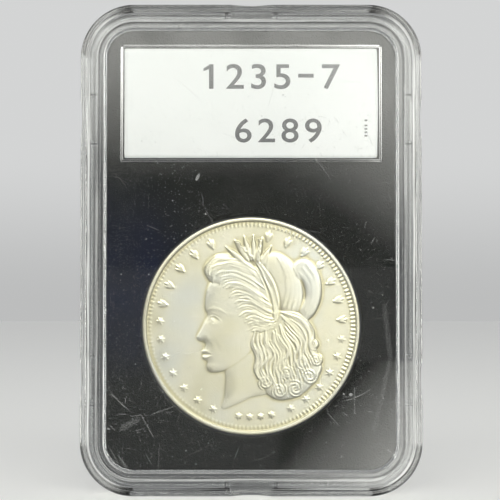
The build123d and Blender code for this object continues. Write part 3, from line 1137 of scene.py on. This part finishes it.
def black_foam(tree):
    """Fine-celled black foam with a faint blue cast, lint and dust."""
    place = place_in(tree)
    cloud = noise(place, 55, 3).ramp(0.35, 0.65, 0.45, 1.0)
    cast = cloud * close_to(tree, BLUE_SPOT, 0.005, 0.021)
    base = blend_colors(cast, (0.0205, 0.0213, 0.0200), (0.012, 0.016, 0.040))
    thick = spot_in(tree).parts()[0].ramp(-0.020, 0.016, 1.0, 0.35)
    dust = highest(*(specks(tree, *layer) for layer in FOAM_DUST)) * thick
    litter = highest(dust * noise(place, 260, 3).ramp(0.30, 0.55), scratches(tree, *LINT) * 0.5)
    cells = result(node(tree, "TexVoronoi", Vector=place, Scale=3600.0), "Distance")
    return {
        "Roughness": 0.92,
        "Specular_IOR_Level": 0.25,
        "Sheen_Weight": 0.08,
        "Base_Color": blend_colors(litter * 0.8, base, (0.30, 0.31, 0.33)),
        "Normal": bump(cells, 0.0001, 0.8),
    }


foam = make_foam()
give(foam, painted("black_cell_foam", black_foam), "insert", "black_foam", "foam_insert")


# -------------------- label

LABEL_BOW = 0.16  # how far its right edge bows out
LABEL_WAVE = 0.02  # how far it waves in depth
LABEL_CORNER = 0.12  # how far its corners are worn
INK_THICK = 0.012
FIGURE_CAP = 0.73  # height of the built-in figures at size 1
FIGURE_WIDE = 1.12  # how much wider they are set
FIGURE_BOLD = 0.008  # and how much bolder


def make_label():
    """A thin card, cut a little unevenly, that lies almost flat."""
    low, high = box_in_mm("label_card")
    width, _, height = high - low
    rows, columns = 32, 72
    u, v = np.meshgrid(np.linspace(0, 1, columns), np.linspace(0, 1, rows))
    x = low[0] + (width - LABEL_BOW) * u + LABEL_BOW * u * np.sin(np.pi * v)
    z = low[2] + height * v
    from_corner = np.minimum(u, 1 - u) * width + np.minimum(v, 1 - v) * height
    pull = np.clip(LABEL_CORNER - from_corner, 0, None) * 0.5
    x, z = x + pull * np.sign(0.5 - u), z + pull * np.sign(0.5 - v)
    wave = LABEL_WAVE * np.sin(2.2 * np.pi * u + 0.6) * np.cos(1.3 * np.pi * v)
    front = np.stack([x, low[1] + LABEL_WAVE + wave, z], -1).reshape(-1, 3)
    back = np.stack([x, high[1] - LABEL_WAVE + wave, z], -1).reshape(-1, 3)
    faces = grid_faces(rows, columns)
    count = len(front)
    border = [*range(columns), *range(2 * columns - 1, count, columns)]
    border += [*range(count - 2, count - columns - 1, -1), *range(count - 2 * columns, 0, -columns)]
    faces = [*faces, *(faces[:, ::-1] + count), *side_faces(border, count)]
    return add_mesh("printed_label", np.concatenate([front, back]) * MM, faces)


def label_paper(tree):
    """White coated card with faint fibres; painted shade greys it a little towards its upper edge, to offset
    the glare lying over it.
    """
    fibres = noise(place_in(tree, scale=(1, 1, 0.4)), 2600, 3)
    cloud = noise(place_in(tree), 70, 2)
    low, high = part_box("label_card")
    # painted shade: the card darkens towards its upper edge
    rise = spot_in(tree).parts()[2].ramp(low[2], high[2], smooth=False)
    white = blend_colors(rise, (0.90, 0.905, 0.905), (0.775, 0.79, 0.785))
    white = blend_colors(cloud.ramp(0.35, 0.7, 0.0, 0.3), white, (0.78, 0.80, 0.79))
    color = blend_colors(fibres.ramp(0.62, 0.80, 0.0, 0.6), white, (0.70, 0.715, 0.71))
    return {"Roughness": 0.6, "Base_Color": color, "Normal": bump(fibres, 0.00001, 0.5)}


def grey_ink(tree):
    """Thin grey toner, a little patchy."""
    patch = noise(place_in(tree), 1400, 3).ramp(0.3, 0.75)
    return {"Roughness": 0.55, "Base_Color": blend_colors(patch, (0.10, 0.10, 0.105), (0.16, 0.16, 0.165))}


WELD = 0.001 * MM


def welded(piece):
    """Joins the points that lie on each other, which closes the figures' sides to their faces."""
    mesh = bmesh.new()
    mesh.from_mesh(piece.data)
    bmesh.ops.remove_doubles(mesh, verts=mesh.verts, dist=WELD)
    bmesh.ops.dissolve_degenerate(mesh, edges=mesh.edges, dist=WELD)
    mesh.to_mesh(piece.data)
    mesh.free()
    return piece


def print_line(name, characters, left, base, pitch, height):
    """A row of evenly pitched figures as thin raised ink, measured from the label's lower left corner."""
    low, _ = box_in_mm("label_card")
    size = height / FIGURE_CAP
    verts, faces = [], []
    for i, character in enumerate(characters):
        curve = bpy.data.curves.new("figure", "FONT")
        curve.offset = FIGURE_BOLD
        curve.body = character
        curve.align_x = "CENTER"
        curve.size = 1.0
        curve.extrude = 0.5
        figure = bpy.data.objects.new("figure", curve)
        bpy.context.scene.collection.objects.link(figure)
        bpy.context.view_layer.update()
        mesh = bpy.data.meshes.new_from_object(figure)
        first = len(verts)
        middle = low[0] + left + i * pitch
        for x, y, z in (v.co for v in mesh.vertices):
            verts.append((middle + x * size * FIGURE_WIDE, low[1] + INK_THICK * z, low[2] + base + y * size))
        faces += [tuple(first + k for k in reversed(p.vertices)) for p in mesh.polygons]
        bpy.data.objects.remove(figure)
    return welded(add_mesh(name, np.array(verts) * MM, faces, smooth=False))


def bar(x, z, wide, high):
    """A rectangle by its middle and its size."""
    return [(x + i * wide / 2, z + j * high / 2) for i, j in ((-1, -1), (1, -1), (1, 1), (-1, 1))]


def print_shapes(name, outlines):
    """Flat shapes as thin raised ink; each outline runs anticlockwise, measured as the figures are."""
    low, _ = box_in_mm("label_card")
    verts, faces = [], []
    for outline in outlines:
        first, count = len(verts), len(outline)
        for y in (low[1] - INK_THICK / 2, low[1] + INK_THICK / 2):
            verts += [(low[0] + x, y, low[2] + z) for x, z in outline]
        ring = [first + k for k in range(count)]
        faces += [ring, [k + count for k in reversed(ring)]]
        faces += side_faces(ring, count)
    return add_mesh(name, np.array(verts) * MM, faces, smooth=False)


# the figures, the first one's middle, their base line, their pitch and their height
UPPER_LINE = ("1235 7", 15.2, 12.2, 4.17, 4.5)
LOWER_LINE = ("6289", 20.8, 2.8, 4.1, 4.3)
DASH = bar(31.8, 14.45, 2.7, 0.65)
FLAG = [(13.85, 15.25), (14.81, 15.60), (14.81, 16.30), (13.85, 15.75)]  # of the 1
SIDE_MARKS = [bar(42.3, z, 0.5, 0.28) for z in (3.9, 4.5, 5.1, 5.7, 6.6)]

give(make_label(), painted("white_card", label_paper), "label", "label_paper", "label_card")
printed = [
    print_line("print_upper", *UPPER_LINE),
    print_line("print_lower", *LOWER_LINE),
    print_shapes("print_marks", [DASH, FLAG, *SIDE_MARKS]),
]
ink = painted("grey_toner", grey_ink)
for piece in printed:
    give(piece, ink, "label", "label_paper")
